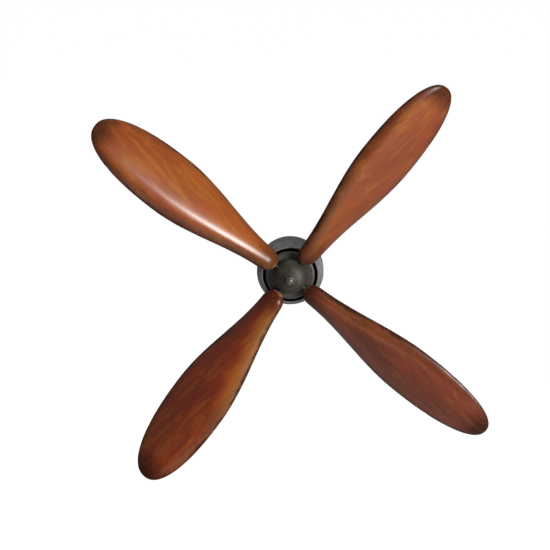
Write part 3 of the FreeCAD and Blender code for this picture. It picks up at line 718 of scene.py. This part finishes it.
def carve_blade(blade, number):
    """A blade as a bmesh, carved from a sphere, in its place round the axis and standing on its face."""
    build = bmesh.new()
    bmesh.ops.create_uvsphere(build, u_segments=blade.section_points, v_segments=blade.stations, radius=1)
    place_layer = build.verts.layers.float_vector.new("blade_place")
    edge_layer = build.verts.layers.float_vector.new("edge_place")
    for vert in build.verts:
        turn = math.atan2(vert.co.y, vert.co.x)
        along = min(1.0, max(0.0, (1 + vert.co.z) / 2))
        point, place, distances = blade_point(blade, turn, along)
        point.y -= math.copysign(nick(place, distances, number * 11.0), point.y)
        vert.co = point
        vert[place_layer] = place
        vert[edge_layer] = distances
    bmesh.ops.recalc_face_normals(build, faces=build.faces)
    for face in build.faces:
        face.smooth = True
    turned = Matrix.Rotation(math.radians(blade.angles[number]), 4, "Z")
    upright = Matrix.Rotation(math.pi / 2, 4, "X")
    bmesh.ops.transform(build, matrix=upright @ turned, verts=build.verts)
    return build


class PROPELLER_OT_blades(bpy.types.Operator):
    """Carve the four blades from spheres and stain them"""

    bl_idname = "propeller.blades"
    bl_label = "Carve blades"

    def execute(self, context):
        blade = context.scene.propeller_blade
        wood = context.scene.propeller_wood
        grain, scuffs = grain_group(), scuff_group()
        for number, look in enumerate(BLADE_LOOKS):
            name = f"blade_{number + 1}"
            material = wood_material(f"varnished_wood_{number + 1}", wood, grain, scuffs,
                                     (0.0, 0.3 * number, 0.17 * number), look)
            piece = finish_piece(f"carved_{name}", carve_blade(blade, number), material,
                                 TURNING_BODY)
            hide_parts(name)
        return {"FINISHED"}


# ------------------------------------------------------------------ hub


class PROPELLER_OT_hub(bpy.types.Operator):
    """Finish the drum, the dome and the nose"""

    bl_idname = "propeller.hub"
    bl_label = "Finish hub"

    def execute(self, context):
        metal = context.scene.propeller_metal
        tarnish = tarnish_group()
        drum_edge = (0.0485, depth_of("hub_drum", 1) - 0.0015, 0.004)
        canopy_lip = (0.0568, depth_of("wall_canopy", 1), 0.0022)
        nose_top = (0.0, depth_of("nose_nut", 1), 0.004)
        paint_nodes(["hub_drum", "spinner_dome"], metal_material(
            "aged_gunmetal", metal.gunmetal, metal.worn, tarnish, GUNMETAL_FINISH, [drum_edge]))
        # the nose washer is darkened as painted shade, standing in for the nut's shadow
        paint_nodes(["nose_washer"], metal_material(
            "washer_painted_shade", shaded(metal.gunmetal, WASHER_PAINTED_SHADE), metal.gunmetal, tarnish, WASHER_FINISH))
        paint_nodes(["nose_nut"], metal_material(
            "nose_metal", shaded(metal.gunmetal, NOSE_SHADE), metal.worn, tarnish, NOSE_FINISH, [nose_top]))
        paint_nodes(["wall_canopy"], metal_material(
            "canopy_metal", metal.canopy, metal.worn, tarnish, CANOPY_FINISH, [canopy_lip]))
        return {"FINISHED"}


class PROPELLER_OT_fixings(bpy.types.Operator):
    """Finish the hidden plates, bushes, nuts, studs and screws"""

    bl_idname = "propeller.fixings"
    bl_label = "Finish fixings"

    def execute(self, context):
        tarnish = bpy.data.node_groups["tarnish"]
        black = metal_material("black_steel", (0.03, 0.03, 0.032), (0.16, 0.16, 0.16),
                               tarnish, BLACK_FINISH)
        zinc = metal_material("zinc_steel", (0.50, 0.50, 0.49), (0.66, 0.66, 0.65),
                              tarnish, ZINC_FINISH)
        bronze = metal_material("bronze", (0.50, 0.33, 0.15), (0.66, 0.48, 0.25),
                                tarnish, BRONZE_FINISH)
        nylon = plastic_material("nylon", (0.78, 0.76, 0.70), tarnish)
        studs = [f"{kind}_{number}" for kind in ("blade_stud", "stud_nut") for number in range(1, 5)]
        paint_nodes(["wall_plate", "bearing_housing", "hub_core"] + studs, black)
        paint_nodes(["front_bush", "rear_bush"], bronze)
        paint_nodes(["thrust_washer"], nylon)
        paint_nodes(["canopy_screws", "housing_screws", "spindle", "rear_washer", "rear_nut",
                     "hub_spacer", "hub_washer", "hub_nut"], zinc)
        return {"FINISHED"}


# ------------------------------------------------------------------ stage


def soft_light(spec, target):
    """A rectangular soft light aimed at a point."""
    data = bpy.data.lights.new(spec.name, "AREA")
    data.shape = "RECTANGLE"
    data.size = spec.width
    data.size_y = spec.height
    data.energy = spec.watts
    data.color = spec.colour
    lamp = bpy.data.objects.new(spec.name, data)
    bpy.context.scene.collection.objects.link(lamp)
    lamp.location = spec.place
    lamp.rotation_euler = (Vector(target) - Vector(spec.place)).to_track_quat("-Z", "Y").to_euler()


def place_camera(scene, settings, target):
    """The camera in front of the target, raised by the elevation."""
    back = Vector((0, -math.cos(settings.elevation), math.sin(settings.elevation)))
    data = bpy.data.cameras.new("camera")
    data.sensor_width = 36.0
    data.lens = data.sensor_width * settings.distance / settings.field
    data.shift_x = settings.shift_x
    data.shift_y = settings.shift_y
    data.clip_end = 60.0
    camera = bpy.data.objects.new("camera", data)
    scene.collection.objects.link(camera)
    camera.location = target + back * settings.distance
    camera.rotation_euler = (-back).to_track_quat("-Z", "Y").to_euler()
    scene.camera = camera


def lay_floor(scene, settings):
    """A pale floor far below the hub, which the camera sees as plain white."""
    build = bmesh.new()
    bmesh.ops.create_grid(build, x_segments=4, y_segments=4, size=FLOOR_SIZE)
    bmesh.ops.translate(build, vec=(0, FLOOR_BACK, -settings.floor_drop), verts=build.verts)
    mesh = bpy.data.meshes.new("floor")
    build.to_mesh(mesh)
    build.free()
    floor = bpy.data.objects.new("floor", mesh)
    scene.collection.objects.link(floor)
    material, tree, shader = new_material("pale_floor")
    shader.inputs["Base Color"].default_value = (FLOOR_GREY, FLOOR_GREY, FLOOR_GREY, 1)
    shader.inputs["Roughness"].default_value = 0.9
    seen = tree.nodes.new("ShaderNodeLightPath").outputs["Is Camera Ray"]
    shader.inputs["Emission Color"].default_value = (1.0, 1.0, 1.0, 1)
    link(tree, maths(tree, "MULTIPLY", seen, FLOOR_SEEN), shader.inputs["Emission Strength"])
    mesh.materials.append(material)


def white_surroundings(scene):
    """A white world that lights the part softly and that the camera sees brighter."""
    world = bpy.data.worlds.new("surroundings")
    world.use_nodes = True
    tree = world.node_tree
    background = tree.nodes["Background"]
    seen = tree.nodes.new("ShaderNodeLightPath").outputs["Is Camera Ray"]
    background.inputs["Color"].default_value = (1.0, 1.0, 1.0, 1)
    link(tree, maths(tree, "MULTIPLY_ADD", seen, WORLD_SEEN, WORLD_STRENGTH), background.inputs["Strength"])
    scene.world = world


class PROPELLER_OT_stage(bpy.types.Operator):
    """Set up the camera, the soft lights, the pale floor and the surroundings"""

    bl_idname = "propeller.stage"
    bl_label = "Set up stage"

    def execute(self, context):
        scene = context.scene
        settings = scene.propeller_stage
        middle = Vector((0.0, -depth_of(BODY_MIDDLE, 1), 0.0))
        place_camera(scene, settings, middle)
        lay_floor(scene, settings)
        for spec in LIGHTS:
            soft_light(spec, middle)
        white_surroundings(scene)
        scene.view_settings.view_transform = "Standard"
        return {"FINISHED"}


# ------------------------------------------------------------------ panel and running


class PROPELLER_PT_panel(bpy.types.Panel):
    """Sidebar panel with the propeller's settings and steps"""

    bl_label = "Wooden propeller"
    bl_idname = "PROPELLER_PT_panel"
    bl_space_type = "VIEW_3D"
    bl_region_type = "UI"
    bl_category = "Propeller"

    def draw(self, context):
        column = self.layout.column()
        for group in SETTINGS:
            settings = getattr(context.scene, group)
            for name in settings.__annotations__:
                column.prop(settings, name)
        for step in STEPS:
            column.operator(step.bl_idname)


SETTINGS = {
    "propeller_blade": BladeSettings,
    "propeller_wood": WoodSettings,
    "propeller_metal": MetalSettings,
    "propeller_stage": StageSettings,
}
STEPS = (PROPELLER_OT_blades, PROPELLER_OT_hub, PROPELLER_OT_fixings, PROPELLER_OT_stage)


def register():
    for group in SETTINGS.values():
        bpy.utils.register_class(group)
    for name, group in SETTINGS.items():
        setattr(bpy.types.Scene, name, PointerProperty(type=group))
    for step in STEPS:
        bpy.utils.register_class(step)
    bpy.utils.register_class(PROPELLER_PT_panel)


def unregister():
    bpy.utils.unregister_class(PROPELLER_PT_panel)
    for step in reversed(STEPS):
        bpy.utils.unregister_class(step)
    for name in SETTINGS:
        delattr(bpy.types.Scene, name)
    for group in reversed(list(SETTINGS.values())):
        bpy.utils.unregister_class(group)


def main():
    register()
    bpy.ops.propeller.blades()
    bpy.ops.propeller.hub()
    bpy.ops.propeller.fixings()
    bpy.ops.propeller.stage()


if __name__ == "__main__":
    main()
